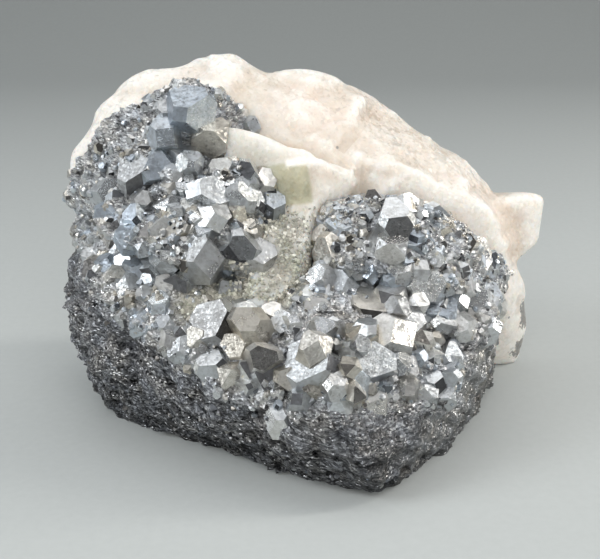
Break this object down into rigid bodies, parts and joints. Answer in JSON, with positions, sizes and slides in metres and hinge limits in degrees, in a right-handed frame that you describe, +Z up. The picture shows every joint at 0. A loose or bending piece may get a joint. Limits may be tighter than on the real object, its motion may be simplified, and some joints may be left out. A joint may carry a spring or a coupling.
{
  "type": "skutterudite with calcite specimen",
  "caption": "Hand-sized mineral specimen: a crust of bright metallic cubic crystals on a dark ore block, grown into a ridge of white calcite, standing on its flat broken base.",
  "frame": {"origin": "the middle of the flat broken base, on the plane it rests on", "axes": "+Z up from the base, +X along the longest side to the viewer's right, -Y towards the viewer, where the crystal face is"},
  "size_m": [0.0869, 0.0687, 0.0596],
  "materials": {
    "skutterudite": "bright steel-grey metallic crystal faces over dark granular ore, with a faint blue and gold tarnish",
    "calcite": "milky white calcite, faintly translucent, cream and pale pink, with cleavage glints"
  },
  "bodies": {
    "root": {"skutterudite": "skutterudite", "calcite": "calcite"}
  },
  "joints": []
}
